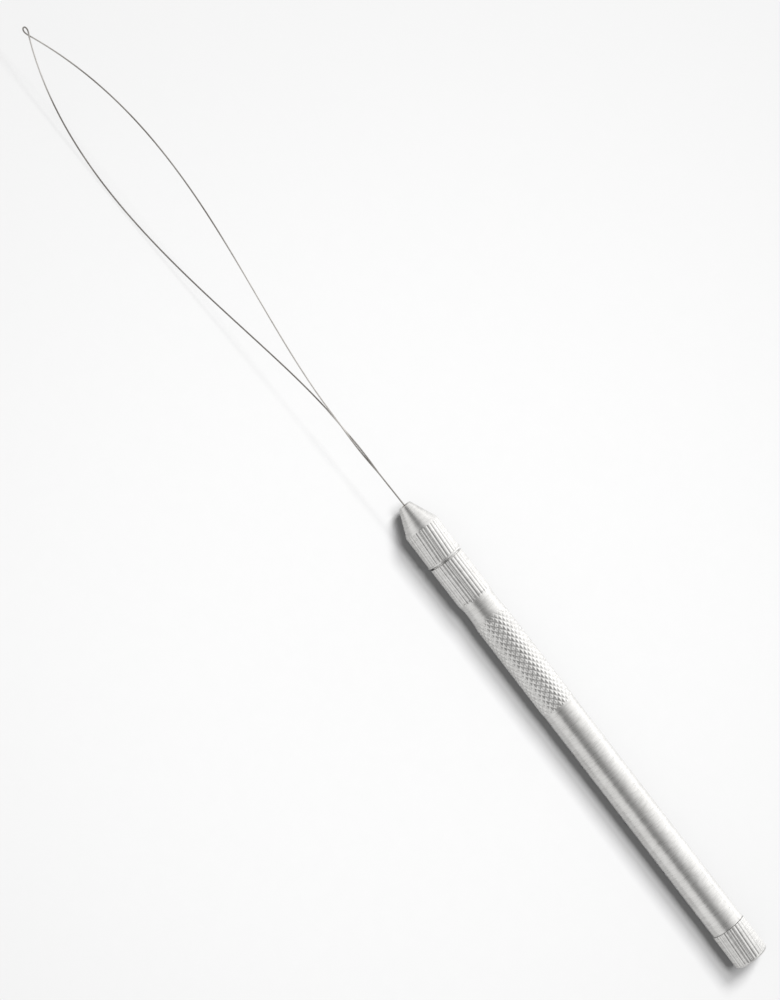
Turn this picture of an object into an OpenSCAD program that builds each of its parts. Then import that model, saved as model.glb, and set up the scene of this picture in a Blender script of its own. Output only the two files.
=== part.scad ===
// Needle threader: a spring wire loop gripped by a split collet in a turned aluminium handle.
// The handle's axis is X. X = 0 is the flat end of the tail cap, and the loop points to +X.
// The tool lies on a table that is square to Z, with the loop rolled so that one strand is low.

/* [Handle] */
// Diameter of the smooth barrel
barrel_d = 8; // [7.6:0.1:9]
// Length of the smooth barrel
barrel_len = 62; // [30:1:90]
// Length of the knurled grip
grip_len = 26; // [12:1:40]
// Length of the smooth waist between the grip and the collar
waist_len = 4.6; // [3:0.1:8]
// Diameter at the narrowest place of the waist
waist_d = 7.5; // [7.3:0.05:7.6]
// Length of the ribbed collar behind the nose
collar_len = 10.1; // [6:0.1:14]
// Diameter over the ribs of the collar
collar_d = 8.3; // [8.1:0.1:9]
// Diameter of the storage bore that opens at the tail
store_d = 5; // [4:0.1:5.5]
// Small chamfer that breaks the turned edges
edge_break = 0.2; // [0.1:0.05:0.3]

/* [Knurl and ribs] */
// Height of the knurl's points above the barrel
knurl_rise = 0.15; // [0.05:0.05:0.25]
// Depth of the knurl from its points to its valleys
knurl_depth = 0.3; // [0.15:0.05:0.4]
// Number of knurl points around the grip
knurl_around = 22; // [18:2:30]
// Spacing of the knurl points along the grip
knurl_pitch = 1.55; // [1:0.05:2]
// Number of ribs around the collar, the nose and the tail cap
rib_count = 28; // [24:2:40]
// Depth of the grooves between the ribs
rib_depth = 0.25; // [0.1:0.05:0.3]

/* [Nose cap] */
// Gap that shows between the collar and the nose cap
nose_gap = 0.3; // [0.2:0.1:1]
// Diameter of the lip ring at the back of the nose cap
lip_d = 8.7; // [8.4:0.1:9.2]
// Width of the lip ring
lip_len = 0.6; // [0.4:0.1:1.2]
// Diameter over the ribs of the nose cap
nose_d = 8.4; // [8.2:0.1:9]
// Length of the ribbed part of the nose cap
nose_rib_len = 7.9; // [7:0.1:12]
// Length of the cone
cone_len = 6.2; // [5:0.1:8]
// Diameter of the flat tip of the cone
tip_d = 3; // [2.8:0.1:4]
// Diameter of the hole in the tip
tip_hole_d = 1.8; // [1.6:0.1:2]
// Length of the straight hole in the tip
tip_hole_len = 0.9; // [0.7:0.1:1.5]
// Diameter of the inner cone at its wide end
seat_d = 4.8; // [4.4:0.1:5.2]

/* [Threads] */
// Diameter of the front thread
front_thread_d = 6; // [5.6:0.1:6.2]
// Length of the threaded spigot in front
spigot_len = 7; // [5:0.5:7.5]
// Length of the tail cap's threaded plug
tail_plug_len = 6; // [4:0.5:10]
// Pitch of both threads
thread_pitch = 0.75; // [0.5:0.05:1]
// Depth of both threads
thread_depth = 0.3; // [0.2:0.05:0.4]
// Radial clearance in both threads
thread_clear = 0.05; // [0.02:0.01:0.1]
// Gap between faces that seat on each other
seat_gap = 0.05; // [0.02:0.01:0.1]

/* [Collet] */
// Diameter of the collet's shank
shank_d = 3.8; // [3.4:0.1:4]
// Length of the collet's shank inside its socket
shank_in = 10.5; // [8:0.5:12]
// Radial clearance of the shank and of the cone
collet_clear = 0.05; // [0.02:0.01:0.1]
// Length between the front spigot and the wide end of the inner cone
head_room = 1.5; // [1.2:0.1:2]
// Length of the bevel behind the collet's cone
head_back = 0.6; // [0.4:0.1:0.8]
// Distance of the jaws behind the face of the tip
jaw_recess = 0.3; // [0.1:0.1:0.5]
// Width of the slits between the jaws
slit_w = 0.3; // [0.2:0.05:0.4]
// Length of the slits
slit_len = 10; // [6:0.5:12]
// Radial clearance of the wire pair in the collet
wire_clear = 0.04; // [0.02:0.01:0.1]
// Thickness of the web between the collet's socket and the storage bore
web_len = 6; // [3:0.5:8]
// Diameter of the hole through the web
web_hole_d = 2; // [1.6:0.1:2.4]

/* [Tail cap] */
// Length of the tail cap outside the handle
cap_len = 9; // [6:0.5:14]
// Diameter over the ribs of the tail cap
cap_d = 8.3; // [8.1:0.1:8.4]
// Radius of the rounded end edge of the tail cap
cap_round = 0.8; // [0.4:0.1:1.2]

/* [Wire loop] */
// Diameter of the wire
wire_d = 0.35; // [0.25:0.05:0.4]
// Gap between the two strands of the twisted shank
strand_gap = 0.06; // [0.04:0.01:0.1]
// Length of shank behind the nose's tip
shank_back = 25.5; // [20:0.5:26]
// Length of the twisted stretch, behind the parting
twist_len = 20; // [10:0.5:25]
// Turn of the strands about each other over the twisted stretch, in degrees
twist_turn = 238; // [0:1:720]
// Distance from the nose's tip to where the strands part
part_at = 26; // [15:0.5:40]
// Distance from the nose's tip to where the strands cross again
cross_at = 130.7; // [100:0.1:180]
// Offset of the crossing towards the low strand
cross_out = 0.25; // [0:0.05:0.5]
// Length of the eye beyond the crossing, at the middle of the wire
eye_len = 2.3; // [2:0.1:5]
// Width of the eye at the middle of the wire
eye_w = 1.15; // [0.9:0.05:2]
// Guide of the low strand near the handle: how far along, from the parting
low_near_along = 29; // [20:1:50]
// Guide of the low strand near the handle: how far out
low_near_out = 2.3; // [1:0.1:8]
// Guide of the low strand near the eye: how far back, from the crossing
low_far_along = 35; // [20:1:50]
// Guide of the low strand near the eye: how far out
low_far_out = 18.9; // [10:0.1:24]
// Guide of the high strand near the handle: how far along, from the parting
high_near_along = 32; // [20:1:50]
// Guide of the high strand near the handle: how far out
high_near_out = 1.2; // [1:0.1:8]
// Guide of the high strand near the eye: how far back, from the crossing
high_far_along = 36; // [20:1:50]
// Guide of the high strand near the eye: how far out
high_far_out = 17.3; // [10:0.1:24]
// Roll of the loop's plane about the handle's axis, in degrees
loop_roll = 32; // [0:1:60]
// Sideways drift of the wire at the eye
eye_drift = 2.3; // [0:0.1:5]
// Lift of the wire at the eye
eye_lift = 0.9; // [0:0.1:5]

/* [Hidden] */
$fn = 96;

// Stations along the handle's axis, from the tail to the tip
barrel_start = cap_len + seat_gap;
barrel_end = barrel_start + barrel_len;
grip_end = barrel_end + grip_len;
collar_start = grip_end + waist_len;
collar_end = collar_start + collar_len;
spigot_end = collar_end + spigot_len;
nose_start = collar_end + nose_gap;
lip_end = nose_start + lip_len;
cone_start = lip_end + nose_rib_len;
nose_tip = cone_start + cone_len;
socket_floor = spigot_end - shank_in - seat_gap;
store_end = socket_floor - web_len;
seat_start = spigot_end + head_room;
seat_end = nose_tip - tip_hole_len;
collet_start = socket_floor + seat_gap;
collet_end = nose_tip - jaw_recess;

// How far hidden stock reaches into its neighbour, and how far cuts reach past a face
bury = 0.3;
past = 1;
// How far a turned outline stands clear of the ribs that it trims
trim_clear = 0.04;
// Shares of a rib's pitch that its flat crest takes, and of a thread's pitch that crest and root take
rib_crest = 0.44;
thread_crest = 0.2;
thread_root = 0.2;

// The knurl's rings: the first and the last sit inside the smooth neighbours
knurl_cols = 2 * knurl_around;
knurl_rows = 2 * round(grip_len / knurl_pitch);
knurl_top = barrel_d / 2 + knurl_rise;
knurl_low = knurl_top - knurl_depth;
grip_core = knurl_low - bury;

// The wire's sides around, and its steps along the shank, the lens and the eye
wire_sides = 8;
shank_steps = 22;
lens_steps = 24;
eye_steps = 18;
strand_r = (wire_d + strand_gap) / 2;
pair_r = strand_r + wire_d / 2;
// A teardrop of this height is one unit wide at its widest place
teardrop_unit = 4 / (3 * sqrt(3));

// Directions in the loop's plane, towards the low strand, and square to that plane
low_side = [0, cos(loop_roll), -sin(loop_roll)];
loop_face = [0, sin(loop_roll), cos(loop_roll)];

// A solid of revolution about X. Points are [station, radius].
module turned(points) {
  rotate([0, 90, 0])
    rotate_extrude()
      polygon([for (p = points) [p[1], p[0]]]);
}

// A bar with straight ribs, from one station to another
module ribbed_bar(from, to, d) {
  step = 360 / rib_count;
  corners = [
    for (i = [0 : rib_count - 1])
      for (c = [[-rib_crest / 2, d / 2], [rib_crest / 2, d / 2], [1 / 2, d / 2 - rib_depth]])
        c[1] * [cos((i + c[0]) * step), sin((i + c[0]) * step)]
  ];
  translate([from, 0, 0])
    rotate([0, 90, 0])
      linear_extrude(to - from)
        polygon(corners);
}

// Points of a thread's profile along a spigot, as rings of the thread's pitch and depth
function thread_points(from, to, r) = [
  let (turns = floor((to - from) / thread_pitch))
  for (i = [0 : turns - 1])
    let (start = from + (i + 0.5) * (to - from) / turns - thread_pitch / 2)
    for (c = [
      [thread_root / 2, r - thread_depth],
      [(1 - thread_crest) / 2, r],
      [(1 + thread_crest) / 2, r],
      [1 - thread_root / 2, r - thread_depth]
    ])
      [start + c[0] * thread_pitch, c[1]]
];

// Radius of the waist, which sinks smoothly between the grip and the collar
function waist_r(t, start_r, end_r) =
  let (rim = start_r + (end_r - start_r) * t)
  let (sag = (start_r + end_r) / 2 - waist_d / 2)
  rim - sag * pow(sin(180 * t), 1.5);

// One ring of the knurl's grid. Points and valleys take turns.
function knurl_ring(station, j) = [
  for (i = [0 : knurl_cols - 1])
    let (edge = j < 1 || j > knurl_rows - 1)
    let (r = !edge && (i + j) % 2 == 0 ? knurl_top : knurl_low)
    [station, r * cos(360 * i / knurl_cols), r * sin(360 * i / knurl_cols)]
];

// The diamond knurl, split along its valleys so that every point is a small pyramid
module knurl() {
  row_len = grip_len / knurl_rows;
  rings = [
    knurl_ring(barrel_end - bury, -1),
    for (j = [0 : knurl_rows])
      knurl_ring(barrel_end + max(0.5, min(knurl_rows - 0.5, j)) * row_len, j),
    knurl_ring(grip_end + bury, -1)
  ];
  last = len(rings) - 1;
  skin = [
    for (j = [0 : last - 1])
      for (i = [0 : knurl_cols - 1])
        let (a = j * knurl_cols + i)
        let (b = j * knurl_cols + (i + 1) % knurl_cols)
        let (c = b + knurl_cols)
        let (d = a + knurl_cols)
        each (i + j) % 2 == 0 ? [[a, c, b], [a, d, c]] : [[a, d, b], [b, d, c]]
  ];
  back = [for (i = [0 : knurl_cols - 1]) i];
  front = [for (i = [knurl_cols - 1 : -1 : 0]) last * knurl_cols + i];
  polyhedron([for (ring = rings) each ring], concat(skin, [back, front]));
}

// Turned and knurled tube that the fingers hold
module handle() {
  rib_root = collar_d / 2 - rib_depth;
  collar_core = rib_root - bury / 2;
  waist_steps = 10;
  color("silver")
    difference() {
      union() {
        turned([
          [barrel_start, 0],
          [barrel_start, barrel_d / 2 - edge_break],
          [barrel_start + edge_break, barrel_d / 2],
          [barrel_end, barrel_d / 2],
          [barrel_end, grip_core],
          [grip_end, grip_core],
          for (i = [0 : waist_steps])
            let (t = i / waist_steps)
            [grip_end + waist_len * t, waist_r(t, barrel_d / 2 - edge_break, collar_core)],
          [collar_end - bury, collar_core],
          [collar_end - bury, front_thread_d / 2 - thread_depth],
          each thread_points(collar_end, spigot_end - edge_break, front_thread_d / 2),
          [spigot_end, front_thread_d / 2 - thread_depth],
          [spigot_end, 0]
        ]);
        knurl();
        intersection() {
          ribbed_bar(collar_start - past, collar_end + past, collar_d);
          turned([
            [collar_start, 0],
            [collar_start, collar_core - bury],
            [collar_start + bury + rib_depth + edge_break, collar_d / 2 + trim_clear],
            [collar_end - edge_break - trim_clear, collar_d / 2 + trim_clear],
            [collar_end, collar_d / 2 - edge_break],
            [collar_end, 0]
          ]);
        }
      }
      turned([
        [barrel_start - past, 0],
        [barrel_start - past, store_d / 2],
        [store_end, store_d / 2],
        [store_end, web_hole_d / 2],
        [socket_floor, web_hole_d / 2],
        [socket_floor, shank_d / 2 + collet_clear],
        [spigot_end + past, shank_d / 2 + collet_clear],
        [spigot_end + past, 0]
      ]);
    }
}

// Ribbed cap with a lip and a cone, screwed over the handle's front spigot
module nose_cap() {
  trim_r = nose_d / 2 + trim_clear;
  color("gainsboro")
    difference() {
      union() {
        turned([
          [nose_start, 0],
          [nose_start, lip_d / 2 - edge_break],
          [nose_start + edge_break, lip_d / 2],
          [lip_end - edge_break / 2, lip_d / 2],
          [lip_end, lip_d / 2 - edge_break / 2],
          [lip_end, 0]
        ]);
        intersection() {
          ribbed_bar(lip_end - bury, nose_tip + past, nose_d);
          turned([
            [lip_end - past, 0],
            [lip_end - past, trim_r],
            [cone_start, trim_r],
            [nose_tip, tip_d / 2],
            [nose_tip, 0]
          ]);
        }
      }
      turned([
        [nose_start - past, 0],
        [nose_start - past, front_thread_d / 2 + thread_clear],
        [seat_start - head_back, front_thread_d / 2 + thread_clear],
        [seat_start, seat_d / 2],
        [seat_end, tip_hole_d / 2],
        [nose_tip + past, tip_hole_d / 2],
        [nose_tip + past, 0]
      ]);
    }
}

// Split brass collet: a shank in the handle's socket and a cone that the nose squeezes shut
module collet() {
  jaw_r = tip_hole_d / 2 - collet_clear;
  color("goldenrod")
    difference() {
      turned([
        [collet_start, 0],
        [collet_start, shank_d / 2 - edge_break],
        [collet_start + edge_break, shank_d / 2],
        [seat_start - head_back, shank_d / 2],
        [seat_start, seat_d / 2 - collet_clear],
        [seat_end, jaw_r],
        [collet_end, jaw_r],
        [collet_end, 0]
      ]);
      translate([collet_start - past, 0, 0])
        rotate([0, 90, 0])
          cylinder(h = collet_end - collet_start + 2 * past, r = pair_r + wire_clear);
      for (turn = [0, 90])
        rotate([turn, 0, 0])
          translate([collet_end - slit_len, -slit_w / 2, -seat_d])
            cube([slit_len + past, slit_w, 2 * seat_d]);
    }
}

// A point of the wire from its distance along the tool, its offset to the low side, and its offset
// square to the loop. In front of the nose the whole wire drifts and lifts a little.
function wire_point(along, out, up) =
  let (share = max(0, along) / (cross_at + eye_len))
  [nose_tip + along, 0, 0] + out * low_side + up * loop_face + share * [0, eye_drift, eye_lift];

// A strand of the shank, from its cut end to the parting. It runs straight in the collet and is twisted in
// front of it. side is 1 for the low strand.
function shank_strand(side) = [
  for (i = [0 : shank_steps - 1])
    let (along = -shank_back + (shank_back + part_at) * i / shank_steps)
    let (turn = -twist_turn * min(1, (part_at - along) / twist_len))
    wire_point(along, side * strand_r * cos(turn), side * strand_r * sin(turn))
];

// A point of a cubic curve through two guides
function curve(a, b, c, d, t) =
  pow(1 - t, 3) * a + 3 * t * pow(1 - t, 2) * b + 3 * t * t * (1 - t) * c + pow(t, 3) * d;

// A strand of the lens, from the parting to the crossing, with its guides as [along, out]
function lens_strand(side, near, far) =
  let (start = [part_at, strand_r])
  let (end = [cross_at, side * cross_out])
  [
    for (i = [0 : lens_steps - 1])
      let (t = i / lens_steps)
      let (p = curve(start, [part_at + near[0], near[1]], [cross_at - far[0], far[1]], end, t))
      wire_point(p[0], side * p[1], side * strand_r * t * t)
  ];

// The eye: a teardrop that starts and ends at the crossing, one strand over the other
eye = [
  for (i = [0 : eye_steps])
    let (turn = 360 * i / eye_steps)
    wire_point(
      cross_at + eye_len * (1 - cos(turn)) / 2,
      cross_out * (1 + cos(turn)) / 2 - eye_w / 2 / teardrop_unit * sin(turn) * sin(turn / 2),
      strand_r * cos(turn / 2)
    )
];

function reversed(list) = [for (i = [len(list) - 1 : -1 : 0]) list[i]];
function unit(v) = v / norm(v);

wire_path = concat(
  shank_strand(1),
  lens_strand(1, [low_near_along, low_near_out], [low_far_along, low_far_out]),
  eye,
  reversed(lens_strand(-1, [high_near_along, high_near_out], [high_far_along, high_far_out])),
  reversed(shank_strand(-1))
);

// The wire: one unbroken tube along its path
module wire_loop() {
  last = len(wire_path) - 1;
  points = [
    for (i = [0 : last])
      let (ahead = unit(wire_path[min(i + 1, last)] - wire_path[max(i - 1, 0)]))
      let (side = unit(cross(ahead, loop_face)))
      let (up = cross(side, ahead))
      for (k = [0 : wire_sides - 1])
        let (turn = 360 * (k + 0.5) / wire_sides)
        wire_path[i] + wire_d / 2 * (cos(turn) * side + sin(turn) * up)
  ];
  skin = [
    for (i = [0 : last - 1])
      for (k = [0 : wire_sides - 1])
        let (a = i * wire_sides + k)
        let (b = i * wire_sides + (k + 1) % wire_sides)
        each [[a, b, b + wire_sides], [a, b + wire_sides, a + wire_sides]]
  ];
  back = [for (k = [wire_sides - 1 : -1 : 0]) k];
  front = [for (k = [0 : wire_sides - 1]) last * wire_sides + k];
  color("dimgray")
    polyhedron(points, concat(skin, [back, front]));
}

// Ribbed screw cap that closes the storage bore
module tail_cap() {
  plug_r = store_d / 2 - thread_clear;
  plug_end = cap_len + tail_plug_len;
  round_steps = 4;
  trim_r = cap_d / 2 + trim_clear;
  color("gainsboro")
    union() {
      intersection() {
        ribbed_bar(-past, cap_len + past, cap_d);
        turned([
          [0, 0],
          for (i = [0 : round_steps])
            let (turn = 90 * i / round_steps)
            [cap_round * (1 - cos(turn)), trim_r - cap_round * (1 - sin(turn))],
          [cap_len - edge_break - trim_clear, trim_r],
          [cap_len, cap_d / 2 - edge_break],
          [cap_len, 0]
        ]);
      }
      turned([
        [cap_len - past, 0],
        [cap_len - past, plug_r - thread_depth],
        each thread_points(cap_len + bury, plug_end - edge_break, plug_r),
        [plug_end, plug_r - thread_depth],
        [plug_end, 0]
      ]);
    }
}

handle();
nose_cap();
collet();
wire_loop();
tail_cap();
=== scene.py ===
# A wire-loop needle threader: a turned aluminium handle with a screw nose and tail cap, and a steel loop.
# The pieces are made in millimetres about the handle's axis, X, and stored in metres.
import math

import bpy
import numpy as np
from mathutils import Matrix, Vector


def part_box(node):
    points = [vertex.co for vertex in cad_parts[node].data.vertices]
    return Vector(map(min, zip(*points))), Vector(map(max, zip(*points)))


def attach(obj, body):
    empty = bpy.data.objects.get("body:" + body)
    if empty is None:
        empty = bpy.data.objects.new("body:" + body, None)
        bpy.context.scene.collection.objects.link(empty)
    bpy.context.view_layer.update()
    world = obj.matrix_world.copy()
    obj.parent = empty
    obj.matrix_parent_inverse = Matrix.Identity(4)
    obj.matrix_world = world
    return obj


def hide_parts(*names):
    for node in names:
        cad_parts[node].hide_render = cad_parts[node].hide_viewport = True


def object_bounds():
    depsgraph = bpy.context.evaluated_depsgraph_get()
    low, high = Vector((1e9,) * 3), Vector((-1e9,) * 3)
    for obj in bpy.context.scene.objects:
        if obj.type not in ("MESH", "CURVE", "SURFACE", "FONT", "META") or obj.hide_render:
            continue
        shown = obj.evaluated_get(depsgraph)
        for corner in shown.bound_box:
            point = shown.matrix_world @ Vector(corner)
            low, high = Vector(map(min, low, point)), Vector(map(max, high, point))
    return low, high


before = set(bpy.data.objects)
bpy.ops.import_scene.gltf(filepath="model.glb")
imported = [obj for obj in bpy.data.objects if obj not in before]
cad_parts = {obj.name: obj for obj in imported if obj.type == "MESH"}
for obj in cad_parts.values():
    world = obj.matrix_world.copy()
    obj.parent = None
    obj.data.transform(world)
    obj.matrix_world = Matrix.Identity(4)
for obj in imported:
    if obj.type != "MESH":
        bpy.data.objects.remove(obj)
cad_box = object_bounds()

# Handle: one bar of aluminium, turned and bored, with a rolled diamond knurl where the fingers hold it,
# straight ribs rolled on the collar, a thread cut on the front spigot and a storage bore from the back.
MM = 0.001
barrel_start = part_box("handle")[0][0] / MM
spigot_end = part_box("handle")[1][0] / MM
barrel_r = 4.0
barrel_end = barrel_start + 62
grip_end = barrel_end + 26
waist_r = 3.9
collar_start = grip_end + 4.6
collar_r = 4.15
collar_end = collar_start + 10.1
shoulder_r = 3.5
shoulder_end = collar_end + 0.25
edge_break = 0.08
store_r = 2.5
store_end = spigot_end - 16.55
web_hole_r = 1.0
socket_r = 1.95
socket_floor = spigot_end - 10.55
knurl_around = 22
knurl_top = 4.12
rib_count = 28
rib_depth = 0.1
rib_crest = 0.3
spigot_r = 3.0
thread_pitch = 0.75
thread_depth = 0.3

# Fourteen columns go to each knurl diamond, and eleven to each rib.
COLUMNS = 308
around = np.arange(COLUMNS) * 2 * np.pi / COLUMNS


def smooth_step(share):
    share = np.clip(share, 0, 1)
    return share * share * (3 - 2 * share)


def rib_groove(turn):
    """How far down a rib's rounded groove each angle lies, from 0 on the crest to 1 at the root, when the
    ribs are turned about the axis by some degrees."""
    place = (around - math.radians(turn)) * rib_count / (2 * np.pi)
    share = np.abs(2 * np.mod(place, 1) - 1)
    return smooth_step((1 - share - rib_crest) / (1 - rib_crest))


def thread_groove(station):
    """How far down the thread's groove each angle lies at a station, with a narrow crest and root."""
    share = np.abs(2 * np.mod(station / thread_pitch - around / (2 * np.pi), 1) - 1)
    return np.clip((share - 0.2) / 0.6, 0, 1)


# The two knurl wheels: the side to which their grooves turn, the grooves' spacing along the bar, and depth.
knurl_wheels = ((1, 1.64, 0.17), (-1, 1.53, 0.15))


def knurl_groove(station):
    """Depth at each angle of the two crossing sets of knurl grooves at a station."""
    deepest = np.zeros(COLUMNS)
    for side, pitch, depth in knurl_wheels:
        place = around * knurl_around / (2 * np.pi) + side * (station - barrel_end) / pitch
        share = np.abs(2 * np.mod(place, 1) - 1)
        deepest = np.maximum(deepest, depth * smooth_step(share))
    return deepest


def turned_piece(name, rows, material, closed):
    """A skin through rings about X. A row is a station and its radius, or a radius for each column.
    A closed skin joins its last ring to its first, as in a tube; another gets flat ends."""
    stations = np.array([row[0] for row in rows])
    radii = np.array([np.broadcast_to(row[1], COLUMNS) for row in rows])
    points = np.empty((len(rows), COLUMNS, 3))
    points[:, :, 0] = stations[:, None]
    points[:, :, 1] = radii * np.cos(around)
    points[:, :, 2] = radii * np.sin(around)
    ring = np.arange(COLUMNS)
    after = (ring + 1) % COLUMNS
    faces = []
    for row in range(len(rows) if closed else len(rows) - 1):
        here = row * COLUMNS
        there = (row + 1) % len(rows) * COLUMNS
        faces += np.stack([here + ring, here + after, there + after, there + ring], axis=1).tolist()
    if not closed:
        faces.append(ring[::-1].tolist())
        faces.append(((len(rows) - 1) * COLUMNS + ring).tolist())
    mesh = bpy.data.meshes.new(name)
    mesh.from_pydata((points.reshape(-1, 3) * MM).tolist(), [], faces)
    mesh.shade_smooth()
    mesh.set_sharp_from_angle(angle=math.radians(38))
    mesh.materials.append(material)
    piece = bpy.data.objects.new(name, mesh)
    bpy.context.collection.objects.link(piece)
    return piece


def linear(hex_colour):
    """A colour written as sRGB hex, as linear numbers for a shader."""
    values = [int(hex_colour[i:i + 2], 16) / 255 for i in (1, 3, 5)]
    return [v / 12.92 if v <= 0.04045 else ((v + 0.055) / 1.055) ** 2.4 for v in values] + [1.0]


def add_node(tree, kind, inputs=None, **settings):
    """Adds a node with its settings. An input is a value, or another node's output to link."""
    node = tree.nodes.new(kind)
    for name, value in settings.items():
        setattr(node, name, value)
    for socket, value in (inputs or {}).items():
        if isinstance(value, bpy.types.NodeSocket):
            tree.links.new(value, node.inputs[socket])
        else:
            node.inputs[socket].default_value = value
    return node


def new_material(name):
    """An empty material with its node tree."""
    material = bpy.data.materials.new(name)
    material.use_nodes = True
    material.node_tree.nodes.clear()
    return material, material.node_tree


# Turned satin aluminium: a pale silver metal. The tool leaves fine rings round the bar, about 0.1 mm apart
# and drawn coarser here so that they show, which spread highlights along it.
turning_mark_mm = (0.35, 2.2, 2.2)
cloud_mm = 9
satin_aluminium, tree = new_material("turned_satin_aluminium")
place = add_node(tree, "ShaderNodeTexCoord")
stretched = add_node(
    tree, "ShaderNodeVectorMath",
    {0: place.outputs["Object"], 1: [1 / (mark * MM) for mark in turning_mark_mm]},
    operation="MULTIPLY",
)
turning = add_node(
    tree, "ShaderNodeTexNoise",
    {"Vector": stretched.outputs["Vector"], "Scale": 1.0, "Detail": 1.0, "Roughness": 0.5},
)
clouds = add_node(
    tree, "ShaderNodeTexNoise",
    {"Vector": place.outputs["Object"], "Scale": 1 / (cloud_mm * MM), "Detail": 4.0, "Roughness": 0.6},
)
streak_tone = add_node(
    tree, "ShaderNodeMix",
    {"Factor": turning.outputs["Fac"], "A": linear("#BEBDBB"), "B": linear("#E3E2E0")},
    data_type="RGBA",
)
metal_tone = add_node(
    tree, "ShaderNodeMix",
    {"Factor": 0.35, "A": streak_tone.outputs["Result"], "B": clouds.outputs["Fac"]},
    data_type="RGBA",
    blend_type="SOFT_LIGHT",
)
gloss = add_node(
    tree, "ShaderNodeMapRange",
    {"Value": turning.outputs["Fac"], "From Min": 0.25, "From Max": 0.75, "To Min": 0.25, "To Max": 0.36},
)
rings = add_node(
    tree, "ShaderNodeBump",
    {"Height": turning.outputs["Fac"], "Strength": 1.0, "Distance": 0.07 * MM},
)
lathe_turn = add_node(tree, "ShaderNodeTangent", direction_type="RADIAL", axis="X")
surface = add_node(
    tree, "ShaderNodeBsdfPrincipled",
    {
        "Base Color": metal_tone.outputs["Result"],
        "Metallic": 1.0,
        "Roughness": gloss.outputs["Result"],
        "Anisotropic": 0.5,
        "Anisotropic Rotation": 0.25,
        "Tangent": lathe_turn.outputs["Tangent"],
        "Normal": rings.outputs["Normal"],
    },
)
add_node(tree, "ShaderNodeOutputMaterial", {"Surface": surface.outputs["BSDF"]})


def corner(station, radius, back, out):
    """Rows of a small rounded edge from (station, radius) that go back along X and out along the radius."""
    turns = np.linspace(0, np.pi / 2, 4)
    return [(station + back * (1 - math.cos(t)), radius + out * math.sin(t)) for t in turns]


# A shallow waist is turned between grip and collar. It cuts off the ribs' ends, and thins the knurl out
# over a long taper.
waist_at = collar_start - 2.4
waist_taper = 5


def waist_radius(x):
    away = (x - waist_at) / (collar_start - waist_at) if x > waist_at else (waist_at - x) / waist_taper
    return waist_r + (collar_r - waist_r) * away ** 2


handle_rows = corner(barrel_start, barrel_r - edge_break, edge_break, edge_break)
handle_rows += [(x, barrel_r) for x in np.linspace(barrel_start + 1, barrel_end - 0.3, 40)]
knurl_step = 0.11
knurl_fade = 0.3
for x in np.arange(barrel_end, waist_at, knurl_step):
    inside = smooth_step((x - barrel_end) / knurl_fade)
    radius = barrel_r + inside * (knurl_top - knurl_groove(x) - barrel_r)
    handle_rows.append((x, np.minimum(radius, waist_radius(x))))
ribs = collar_r - rib_depth * rib_groove(4)
collar_stations = np.concatenate([
    np.arange(waist_at, collar_start, 0.1),
    np.linspace(collar_start, collar_end - edge_break, 16),
    np.linspace(collar_end - edge_break, collar_end, 5)[1:],
])
for x in collar_stations:
    trim = min(waist_radius(min(x, collar_start)), collar_r - edge_break + (collar_end - x))
    handle_rows.append((x, np.minimum(ribs, trim)))
spigot_root = spigot_r - thread_depth
handle_rows += [
    (collar_end, shoulder_r),
    (shoulder_end, shoulder_r),
    (shoulder_end, spigot_root),
]
for x in np.arange(shoulder_end + 0.1, spigot_end - 0.001, thread_pitch / 9):
    ends = smooth_step((x - shoulder_end - 0.1) / 0.3) * smooth_step((spigot_end - x) / 0.3)
    handle_rows.append((x, spigot_root + thread_depth * (1 - thread_groove(x)) * ends))
handle_rows += [
    (spigot_end, spigot_root),
    (spigot_end, socket_r + 0.15),
    (spigot_end - 0.15, socket_r),
    (socket_floor, socket_r),
    (socket_floor, web_hole_r),
    (store_end, web_hole_r),
    (store_end, store_r),
    (barrel_start + 0.15, store_r),
    (barrel_start, store_r + 0.15),
]
handle = turned_piece("handle_tube", handle_rows, satin_aluminium, closed=True)
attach(handle, "handle")
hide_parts("handle")

# Collet: a small turned collet of brass, slit crosswise so that its jaws close on the wire when the nose
# is screwed back over its cone. Its solid has its real shape, so it is kept and only gets its metal.
# Free-cutting brass: a warm yellow metal with fine turning rings, a little dulled by handling.
brass_lines_mm = 0.2
brass, tree = new_material("turned_brass")
place = add_node(tree, "ShaderNodeTexCoord")
along = add_node(tree, "ShaderNodeSeparateXYZ", {"Vector": place.outputs["Object"]})
turning = add_node(
    tree, "ShaderNodeTexNoise",
    {"W": along.outputs["X"], "Scale": 1 / (brass_lines_mm * MM), "Detail": 2.0},
    noise_dimensions="1D",
)
tarnish = add_node(tree, "ShaderNodeTexNoise", {"Vector": place.outputs["Object"], "Scale": 1 / (1.5 * MM)})
brass_tone = add_node(
    tree, "ShaderNodeMix",
    {"Factor": tarnish.outputs["Fac"], "A": linear("#D9B662"), "B": linear("#B98F45")},
    data_type="RGBA",
)
gloss = add_node(
    tree, "ShaderNodeMapRange",
    {"Value": turning.outputs["Fac"], "To Min": 0.22, "To Max": 0.38},
)
rings = add_node(
    tree, "ShaderNodeBump",
    {"Height": turning.outputs["Fac"], "Strength": 0.3, "Distance": 0.004 * MM},
)
surface = add_node(
    tree, "ShaderNodeBsdfPrincipled",
    {
        "Base Color": brass_tone.outputs["Result"],
        "Metallic": 1.0,
        "Roughness": gloss.outputs["Result"],
        "Normal": rings.outputs["Normal"],
    },
)
add_node(tree, "ShaderNodeOutputMaterial", {"Surface": surface.outputs["BSDF"]})
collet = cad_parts["collet"]
collet.data.materials.clear()
collet.data.materials.append(brass)

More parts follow.
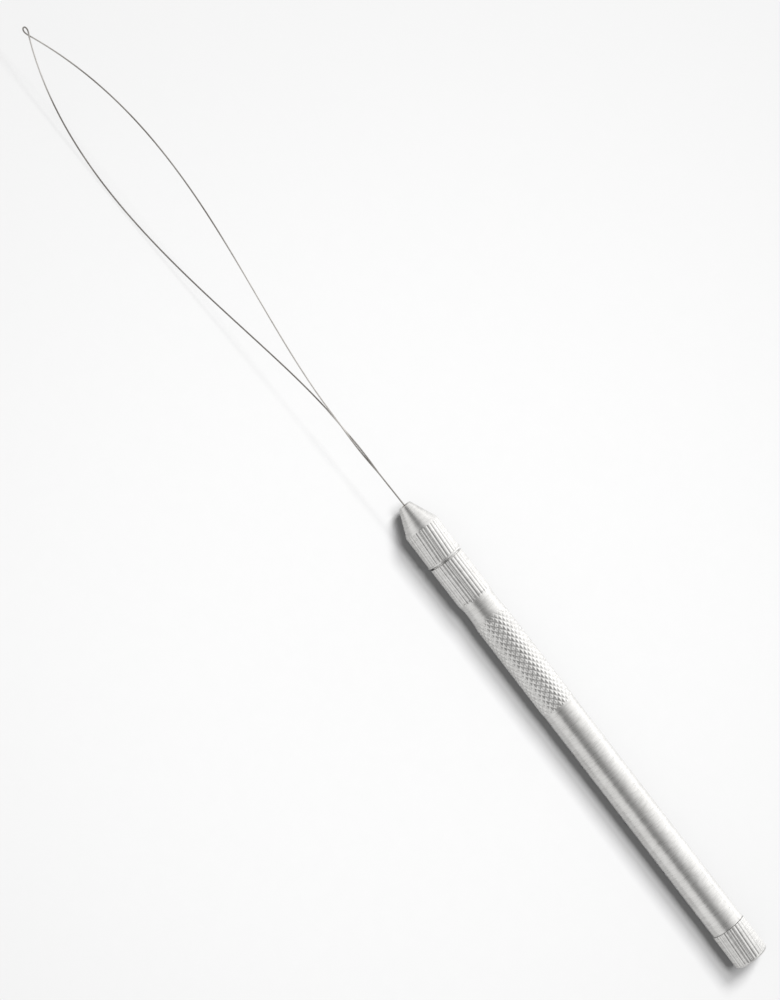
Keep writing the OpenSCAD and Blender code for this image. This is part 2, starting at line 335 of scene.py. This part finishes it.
# Nose cap: a turned aluminium cap that screws over the spigot, with a lip ring before its stepped back
# edge, slanted ribs for the fingers and a cone whose skirt cuts the ribs off in small scallops.
nose_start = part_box("nose_cap")[0][0] / MM
nose_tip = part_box("nose_cap")[1][0] / MM
lip_r = 4.35
lip_start = nose_start + 0.2
lip_end = lip_start + 0.4
nose_r = 4.2
cone_start = nose_tip - 6.2
cone_r = 4.24
tip_r = 1.5
tip_hole_r = 0.9
seat_r = 2.4
seat_start = spigot_end + 1.5
seat_end = nose_tip - 0.9
nose_bore_r = 3.05
rib_slant = 0.9


def cone_radius(x):
    return cone_r + (tip_r - cone_r) * (x - cone_start) / (nose_tip - cone_start)


nose_rows = [(nose_start, nose_bore_r + 0.15), (nose_start, shoulder_r), (lip_start, shoulder_r)]
nose_rows += corner(lip_start, lip_r - 0.1, 0.1, 0.1)
nose_rows += [(lip_end - 0.12, lip_r)]
nose_rows += [(lip_end - 0.04, lip_r - 0.04), (lip_end, lip_r - 0.12)]
nose_stations = np.concatenate([
    [lip_end],
    np.linspace(lip_end + 0.15, cone_start, 20),
    np.linspace(cone_start, cone_start + 0.9, 19)[1:],
    np.linspace(cone_start + 1.2, nose_tip - 0.1, 14),
])
for x in nose_stations:
    ribs = nose_r - rib_depth * rib_groove(2.5 + rib_slant * (x - lip_end))
    nose_rows.append((x, np.minimum(ribs, cone_radius(max(x, cone_start)))))
nose_rows += [
    (nose_tip - 0.03, cone_radius(nose_tip - 0.03) - 0.02),
    (nose_tip, tip_r - 0.1),
    (nose_tip, tip_hole_r + 0.1),
    (nose_tip - 0.1, tip_hole_r),
    (seat_end, tip_hole_r),
    (seat_start, seat_r),
    (seat_start - 0.6, nose_bore_r),
    (nose_start + 0.15, nose_bore_r),
]
nose = turned_piece("nose_cap_shell", nose_rows, satin_aluminium, closed=True)
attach(nose, "nose_cap")
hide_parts("nose_cap")

# Wire loop: one length of hard-drawn spring steel, folded at a small eye, spread in a long lens-shaped
# loop, and twisted together into a two-strand shank that the collet grips.
wire_r = 0.175
strand_r = 0.205
shank_back = 25.5
twist_len = 18
twist_turn = math.radians(238)
part_at = 27
cross_at = 130.7
cross_out = 0.25
eye_len = 2.28
eye_w = 1.15
low_near, low_far = (28, 2.3), (35, 18.9)
high_near, high_far = (31, 1.2), (36, 17.3)
loop_roll = math.radians(32)
eye_drift = np.array([0, 2.3, 0.9])
low_side = np.array([0, math.cos(loop_roll), -math.sin(loop_roll)])
loop_face = np.array([0, math.sin(loop_roll), math.cos(loop_roll)])
teardrop_unit = 4 / (3 * math.sqrt(3))


def wire_point(distance, out, up):
    """A point of the wire from its distance before the nose and its offsets in and square to the loop."""
    share = max(0, distance) / (cross_at + eye_len)
    return np.array([nose_tip + distance, 0, 0]) + out * low_side + up * loop_face + share * eye_drift


def shank_strand(side):
    """A strand of the shank, straight in the collet and twisted from there to where the strands part."""
    points = []
    for distance in np.linspace(-shank_back, part_at, 110)[:-1]:
        turn = -twist_turn * min(1, (part_at - distance) / twist_len)
        offset = side * strand_r
        points.append(wire_point(distance, offset * math.cos(turn), offset * math.sin(turn)))
    return points


def lens_strand(side, near, far):
    """A strand of the lens: a cubic curve through two guides, from the parting to the crossing."""
    corners = np.array([
        (part_at, strand_r),
        (part_at + near[0], near[1]),
        (cross_at - far[0], far[1]),
        (cross_at, side * cross_out),
    ])
    points = []
    for t in np.linspace(0, 1, 161)[:-1]:
        weights = np.array([(1 - t) ** 3, 3 * t * (1 - t) ** 2, 3 * t * t * (1 - t), t ** 3])
        distance, out = weights @ corners
        points.append(wire_point(distance, side * out, side * strand_r * t * t))
    return points


def eye_bend():
    """The eye: a teardrop that starts and ends at the crossing, one strand over the other."""
    points = []
    for turn in np.linspace(0, 2 * math.pi, 73):
        distance = cross_at + eye_len * (1 - math.cos(turn)) / 2
        bulge = eye_w / 2 / teardrop_unit * math.sin(turn) * math.sin(turn / 2)
        out = cross_out * (1 + math.cos(turn)) / 2 - bulge
        points.append(wire_point(distance, out, strand_r * math.cos(turn / 2)))
    return points


wire_path = np.array(
    shank_strand(1)
    + lens_strand(1, low_near, low_far)
    + eye_bend()
    + lens_strand(-1, high_near, high_far)[::-1]
    + shank_strand(-1)[::-1]
)
wire_sides = 16
ahead = np.gradient(wire_path, axis=0)
ahead /= np.linalg.norm(ahead, axis=1, keepdims=True)
sideways = np.cross(ahead, loop_face)
sideways /= np.linalg.norm(sideways, axis=1, keepdims=True)
upwards = np.cross(sideways, ahead)
turns = np.arange(wire_sides) * 2 * np.pi / wire_sides
wire_skin = wire_path[:, None, :] + wire_r * (
    np.cos(turns)[None, :, None] * sideways[:, None, :] + np.sin(turns)[None, :, None] * upwards[:, None, :]
)
ring = np.arange(wire_sides)
after = (ring + 1) % wire_sides
wire_faces = []
for step in range(len(wire_path) - 1):
    here = step * wire_sides
    there = here + wire_sides
    wire_faces += np.stack([here + ring, here + after, there + after, there + ring], axis=1).tolist()
wire_faces.append(ring[::-1].tolist())
wire_faces.append(((len(wire_path) - 1) * wire_sides + ring).tolist())
wire_mesh = bpy.data.meshes.new("spring_wire")
wire_mesh.from_pydata((wire_skin.reshape(-1, 3) * MM).tolist(), [], wire_faces)
wire_mesh.shade_smooth()
wire_mesh.set_sharp_from_angle(angle=math.radians(50))

# Hard-drawn spring steel: a grey metal, with stretches painted brighter as painted highlights where it
# catches the light. Each pair is a distance before the nose and how strong the painted highlight is there.
shank_glint = ((0, 0.3), (16, 0.2), (21, 0.8))
low_glint = shank_glint + ((26, 0.6), (29, 0), (116, 0), (120, 0.6), (123, 0.9), (130, 0.9), (132, 0.1))
high_glint = shank_glint + ((60, 0.75), (74, 0.1), (116, 0.1), (125, 0.55), (130, 0.7), (132, 0.1))
halfway = len(wire_path) // 2
before_nose = wire_path[:, 0] - nose_tip
painted_glint = np.concatenate([
    np.interp(before_nose[:halfway], *zip(*low_glint)),
    np.interp(before_nose[halfway:], *zip(*high_glint)),
])
# Each point of the wire gets its painted highlight, which the material mixes into the steel's colour.
painted_glint_layer = wire_mesh.attributes.new("painted_glint", "FLOAT", "POINT")
painted_glint_layer.data.foreach_set("value", np.repeat(painted_glint, wire_sides))
film_mm = 6
draw_mark_mm = 0.12
spring_steel, tree = new_material("drawn_spring_steel")
place = add_node(tree, "ShaderNodeTexCoord")
glint_amount = add_node(tree, "ShaderNodeAttribute", attribute_name="painted_glint")
film = add_node(
    tree, "ShaderNodeTexNoise",
    {"Vector": place.outputs["Object"], "Scale": 1 / (film_mm * MM), "Detail": 3.0},
)
marks = add_node(
    tree, "ShaderNodeTexNoise",
    {"Vector": place.outputs["Object"], "Scale": 1 / (draw_mark_mm * MM), "Detail": 2.0},
)
patches = add_node(
    tree, "ShaderNodeMapRange",
    {"Value": film.outputs["Fac"], "From Min": 0.35, "From Max": 0.7, "To Min": -0.1, "To Max": 0.15},
)
# The steel's colour is brightened by random patches plus the painted highlight.
brightness = add_node(
    tree, "ShaderNodeMath",
    {0: patches.outputs["Result"], 1: glint_amount.outputs["Fac"]},
    operation="ADD",
)
steel_tone = add_node(
    tree, "ShaderNodeMix",
    {"Factor": brightness.outputs["Value"], "A": linear("#86827E"), "B": linear("#DEDBD7")},
    data_type="RGBA",
)
gloss = add_node(tree, "ShaderNodeMapRange", {"Value": film.outputs["Fac"], "To Min": 0.22, "To Max": 0.4})
scuffs = add_node(
    tree, "ShaderNodeBump",
    {"Height": marks.outputs["Fac"], "Strength": 0.2, "Distance": 0.003 * MM},
)
surface = add_node(
    tree, "ShaderNodeBsdfPrincipled",
    {
        "Base Color": steel_tone.outputs["Result"],
        "Metallic": 1.0,
        "Roughness": gloss.outputs["Result"],
        "Normal": scuffs.outputs["Normal"],
    },
)
add_node(tree, "ShaderNodeOutputMaterial", {"Surface": surface.outputs["BSDF"]})
wire_mesh.materials.append(spring_steel)
wire = bpy.data.objects.new("spring_wire", wire_mesh)
bpy.context.collection.objects.link(wire)
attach(wire, "wire_loop")
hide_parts("wire_loop")

# Tail cap: a turned aluminium cap with slanted ribs and a rounded end edge. A threaded plug behind it
# screws in the storage bore, and its shoulder meets the end of the barrel.
cap_len = barrel_start - 0.05
cap_r = 4.15
cap_round = 0.8
plug_r = 2.45
plug_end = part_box("tail_cap")[1][0] / MM
plug_root = plug_r - thread_depth
cap_rows = [(0, r) for r in (0.05, 0.8, 1.6, 2.4)]
cap_stations = np.concatenate([
    cap_round * (1 - np.cos(np.linspace(0, np.pi / 2, 12))),
    np.linspace(cap_round + 0.2, cap_len - edge_break, 20),
    np.linspace(cap_len - edge_break, cap_len, 5)[1:],
])
for x in cap_stations:
    ribs = cap_r - rib_depth * rib_groove(3 + rib_slant * x)
    sunk = max(0, cap_round - x)
    rounded = cap_r - cap_round + math.sqrt(max(0, cap_round ** 2 - sunk ** 2))
    trim = min(rounded, cap_r - edge_break + (cap_len - x))
    cap_rows.append((x, np.minimum(ribs, trim)))
cap_rows.append((cap_len, plug_root))
for x in np.arange(cap_len + 0.1, plug_end - 0.001, thread_pitch / 9):
    ends = smooth_step((x - cap_len - 0.2) / 0.3) * smooth_step((plug_end - x) / 0.3)
    cap_rows.append((x, plug_root + thread_depth * (1 - thread_groove(x)) * ends))
cap_rows += [(plug_end, plug_root), (plug_end, 1.0), (plug_end, 0.05)]
tail = turned_piece("tail_cap_knob", cap_rows, satin_aluminium, closed=False)
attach(tail, "tail_cap")
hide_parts("tail_cap")

# Table: a smooth white board that the tool lies on. It isn't part of the object.
# Matt white paper: almost no gloss, with a faint unevenness, and painted shade darker towards its edges.
# Metal shows it as a painted reflection: painted brighter out on the lamps' side, a little less so before
# the nose, and painted darker behind the tail and close to the handle.
table_z = cad_box[0][2]
table_half = 20.0
paper_mm = 3
painted_bright_side = 1.6
painted_bright_end = 1.3
painted_dim_end = 0.75
painted_dim_side = 0.6
paper, tree = new_material("matt_white_paper")
place = add_node(tree, "ShaderNodeTexCoord")
pulp = add_node(
    tree, "ShaderNodeTexNoise",
    {"Vector": place.outputs["Object"], "Scale": 1 / (paper_mm * MM), "Detail": 3.0},
)
# The paper is painted darker away from the middle: painted shade where the light falls off towards the
# edges.
middle = Vector((0.1, 0.015, table_z))
away = add_node(tree, "ShaderNodeVectorMath", {0: place.outputs["Object"], 1: middle}, operation="DISTANCE")
painted_falloff = add_node(
    tree, "ShaderNodeMapRange",
    {"Value": away.outputs["Value"], "From Min": 0.03, "From Max": 0.2},
    interpolation_type="SMOOTHSTEP",
)
pulp_tone = add_node(
    tree, "ShaderNodeMix",
    {"Factor": pulp.outputs["Fac"], "A": linear("#ECECEC"), "B": linear("#EEEEEE")},
    data_type="RGBA",
)
paper_tone = add_node(
    tree, "ShaderNodeMix",
    {"Factor": painted_falloff.outputs["Result"], "A": pulp_tone.outputs["Result"], "B": linear("#E2E2E2")},
    data_type="RGBA",
)
spot = add_node(tree, "ShaderNodeSeparateXYZ", {"Vector": place.outputs["Object"]})
painted_tail_level = add_node(
    tree, "ShaderNodeMapRange",
    {
        "Value": spot.outputs["X"],
        "From Min": -barrel_r * MM,
        "From Max": 0.0,
        "To Min": painted_dim_end,
        "To Max": painted_bright_side,
    },
)
painted_end_level = add_node(
    tree, "ShaderNodeMapRange",
    {
        "Value": spot.outputs["X"],
        "From Min": (cone_start - 1) * MM,
        "From Max": nose_tip * MM,
        "To Min": painted_tail_level.outputs["Result"],
        "To Max": painted_bright_end,
    },
)
painted_reflection_level = add_node(
    tree, "ShaderNodeMapRange",
    {
        "Value": spot.outputs["Y"],
        "From Min": -5 * barrel_r * MM,
        "From Max": barrel_r * MM,
        "To Min": painted_end_level.outputs["Result"],
        "To Max": painted_dim_side,
    },
)
# Glossy rays see the painted reflection level instead of the paper's colour, on their first bounce only.
rays = add_node(tree, "ShaderNodeLightPath")
first = add_node(tree, "ShaderNodeMath", {0: rays.outputs["Diffuse Depth"], 1: 0.5}, operation="LESS_THAN")
mirrored = add_node(
    tree, "ShaderNodeMath",
    {0: painted_reflection_level.outputs["Result"], 1: first.outputs["Value"]},
    operation="MULTIPLY",
)
table_tone = add_node(
    tree, "ShaderNodeMix",
    {
        "Factor": rays.outputs["Is Glossy Ray"],
        "A": paper_tone.outputs["Result"],
        "B": mirrored.outputs["Value"],
    },
    data_type="RGBA",
)
surface = add_node(
    tree, "ShaderNodeBsdfPrincipled",
    {"Base Color": table_tone.outputs["Result"], "Roughness": 0.9, "Specular IOR Level": 0.1},
)
add_node(tree, "ShaderNodeOutputMaterial", {"Surface": surface.outputs["BSDF"]})
table_mesh = bpy.data.meshes.new("table")
table_corners = [(x * table_half, y * table_half, table_z) for x, y in ((-1, -1), (1, -1), (1, 1), (-1, 1))]
table_mesh.from_pydata(table_corners, [], [(0, 1, 2, 3)])
table_mesh.materials.append(paper)
table = bpy.data.objects.new("table", table_mesh)
bpy.context.collection.objects.link(table)

# Light: a room with a bright wall low on the -Y side, a dim ceiling and a paler wall on the +Y side, set by
# the angle about the handle's axis, and a pale end wall beyond the loop. Metal and camera see it; other
# surfaces get a weak even light from it. Stops are (degrees from straight up towards +Y, brightness).
side_stops = (
    (-90, 1.6), (-75, 1.5), (-50, 1.15), (-30, 0.84), (-12, 0.56), (0, 0.385),
    (14, 0.315), (26, 0.35), (41, 0.93), (60, 1.01), (90, 0.96),
)
end_stops = (
    (-90, 1.25), (-43, 1.17), (-22, 0.64), (-10, 0.34), (0, 0.29),
    (12, 0.31), (24, 0.54), (43, 0.98), (60, 1.08), (90, 1.1),
)
room_peak = 1.6
even_light = 0.13
world = bpy.data.worlds.new("room")
bpy.context.scene.world = world
world.cycles.sampling_method = "NONE"
world.use_nodes = True
tree = world.node_tree
tree.nodes.clear()
place = add_node(tree, "ShaderNodeTexCoord")
look = add_node(tree, "ShaderNodeSeparateXYZ", {"Vector": place.outputs["Generated"]})
roll = add_node(tree, "ShaderNodeMath", {0: look.outputs["Y"], 1: look.outputs["Z"]}, operation="ARCTAN2")
share = add_node(
    tree, "ShaderNodeMapRange",
    {"Value": roll.outputs["Value"], "From Min": -math.pi, "From Max": math.pi},
)
walls = []
for wall_stops in (side_stops, end_stops):
    wall = add_node(tree, "ShaderNodeValToRGB", {"Fac": share.outputs["Result"]})
    stops = wall.color_ramp.elements
    while len(stops) < len(wall_stops):
        stops.new(1.0)
    for stop, (degrees, brightness) in zip(stops, wall_stops):
        stop.position = degrees / 360 + 0.5
        stop.color = [brightness / room_peak] * 3 + [1]
    walls.append(wall)
towards_end = add_node(
    tree, "ShaderNodeMapRange",
    {"Value": look.outputs["X"], "From Min": 0.2, "From Max": 0.5},
    interpolation_type="SMOOTHSTEP",
)
room_tone = add_node(
    tree, "ShaderNodeMix",
    {
        "Factor": towards_end.outputs["Result"],
        "A": walls[0].outputs["Color"],
        "B": walls[1].outputs["Color"],
    },
    data_type="RGBA",
)
room = add_node(tree, "ShaderNodeBackground", {"Color": room_tone.outputs["Result"], "Strength": room_peak})
fill = add_node(tree, "ShaderNodeBackground", {"Color": linear("#FFFFFF"), "Strength": even_light})
rays = add_node(tree, "ShaderNodeLightPath")
mirrored = add_node(
    tree, "ShaderNodeMath",
    {0: rays.outputs["Is Camera Ray"], 1: rays.outputs["Is Glossy Ray"]},
    operation="MAXIMUM",
)
passed = add_node(
    tree, "ShaderNodeMath",
    {0: mirrored.outputs["Value"], 1: rays.outputs["Is Transmission Ray"]},
    operation="MAXIMUM",
)
direct = add_node(tree, "ShaderNodeMath", {0: rays.outputs["Diffuse Depth"], 1: 0.5}, operation="LESS_THAN")
seen = add_node(
    tree, "ShaderNodeMath",
    {0: passed.outputs["Value"], 1: direct.outputs["Value"]},
    operation="MULTIPLY",
)
glow = add_node(
    tree, "ShaderNodeMixShader",
    {0: seen.outputs["Value"], 1: fill.outputs["Background"], 2: room.outputs["Background"]},
)
add_node(tree, "ShaderNodeOutputWorld", {"Surface": glow.outputs["Shader"]})

# Three soft lamps on the -Y side light the table. The two high ones stand a little towards the loop and
# cast the handle's shadow, and the low one casts the faint shadow of the wire.
solid_shadow = bpy.data.collections.new("solid_shadow")
for piece in (handle, nose, tail, collet, table):
    solid_shadow.objects.link(piece)
wire_shadow = bpy.data.collections.new("wire_shadow")
wire_shadow.objects.link(wire)
lamp_distance = 8.0
# Each is (name, elevation, turn towards the loop, width, height, watts, what casts its shadow), in degrees.
lamps = (
    ("high_lamp", 68.5, 5, 34, 13, 340, solid_shadow),
    ("middle_lamp", 51.5, 18, 18, 16, 505, solid_shadow),
    ("low_lamp", 34, 0, 13, 5, 75, wire_shadow),
)
for name, elevation, turn, wide, tall, watts, blockers in lamps:
    lamp_data = bpy.data.lights.new(name, "AREA")
    lamp_data.shape = "RECTANGLE"
    lamp_data.size = 2 * lamp_distance * math.tan(math.radians(wide) / 2)
    lamp_data.size_y = 2 * lamp_distance * math.tan(math.radians(tall) / 2)
    lamp_data.energy = watts
    lamp = bpy.data.objects.new(name, lamp_data)
    rise = math.radians(elevation)
    towards = Vector((0, -math.cos(rise), math.sin(rise)))
    steep = Vector((0, math.sin(rise), math.cos(rise)))
    shifted = towards + Vector((math.tan(math.radians(turn)), 0, 0))
    lamp.matrix_world = Matrix.Translation(middle + lamp_distance * shifted) @ Matrix(
        (Vector((1, 0, 0)), steep, towards)
    ).transposed().to_4x4()
    lamp.visible_glossy = False
    lamp.visible_camera = False
    lamp.light_linking.blocker_collection = blockers
    bpy.context.collection.objects.link(lamp)

# Camera: above the table, leaning a little towards the loop, and turned so that the tool lies slanting
# across the frame. The lens is for the longer side of the image.
camera_lean = math.radians(6.5)
camera_turn = math.radians(37.553)
camera_distance = 1500
aim = Vector((129.628, 1.774, 0))
back = Vector((math.sin(camera_lean), 0, math.cos(camera_lean)))
level_x = Vector((math.cos(camera_lean), 0, -math.sin(camera_lean)))
up = math.cos(camera_turn) * level_x - math.sin(camera_turn) * Vector((0, 1, 0))
right = up.cross(back)
camera_data = bpy.data.cameras.new("camera")
camera_data.sensor_width = 36
camera_data.lens = 247.373
camera_data.clip_end = 100
camera = bpy.data.objects.new("camera", camera_data)
camera.matrix_world = Matrix.Translation((aim + camera_distance * back) * MM) @ Matrix(
    (right, up, back)
).transposed().to_4x4()
bpy.context.collection.objects.link(camera)
bpy.context.scene.camera = camera
bpy.context.scene.view_settings.view_transform = "Standard"
